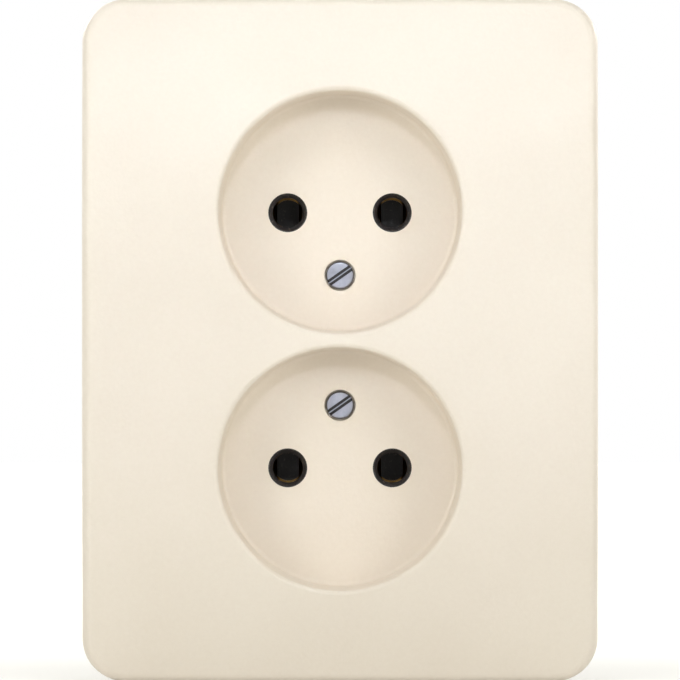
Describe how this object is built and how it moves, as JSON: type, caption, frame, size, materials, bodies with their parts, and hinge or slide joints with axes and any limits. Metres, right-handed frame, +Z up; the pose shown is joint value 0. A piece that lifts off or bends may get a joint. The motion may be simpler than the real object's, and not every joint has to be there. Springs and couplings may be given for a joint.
{
  "type": "wall socket",
  "caption": "Flush unearthed wall socket: round wells in one crowned cover plate, screwed to a dark base with brass spring contacts on a slotted steel mounting frame.",
  "frame": {"origin": "in the wall face, midway between the two box screws, on the back face of the mounting frame", "axes": "+Z up, -Y out of the wall towards the room, +X to the right as seen from the room"},
  "size_m": [0.093, 0.039, 0.1234],
  "materials": {
    "cover_plastic": "satin moulded, beige",
    "screw_zinc": "zinc plated, bluish",
    "frame_steel": "zinc plated sheet",
    "rivet_steel": "bright",
    "base_thermoset": "moulded, near black",
    "contact_cover_plastic": "moulded, black",
    "contact_brass": "bright stamped",
    "spring_steel": "blank spring steel",
    "clamp_zinc": "zinc plated, yellowish"
  },
  "bodies": {
    "root": {"cover": "cover_plastic", "cover_screws": "screw_zinc", "mounting_frame": "frame_steel", "frame_rivets": "rivet_steel", "base": "base_thermoset", "threaded_inserts": "contact_brass", "contact_cover_upper": "contact_cover_plastic", "contact_cover_lower": "contact_cover_plastic", "contact_cover_screws": "screw_zinc", "contact_rail_left": "contact_brass", "contact_rail_right": "contact_brass", "contact_spring_1": "spring_steel", "contact_spring_2": "spring_steel", "contact_spring_3": "spring_steel", "contact_spring_4": "spring_steel", "terminal_clamp_1": "clamp_zinc", "terminal_clamp_2": "clamp_zinc", "terminal_clamp_3": "clamp_zinc", "terminal_clamp_4": "clamp_zinc", "terminal_screws": "screw_zinc"}
  },
  "joints": []
}
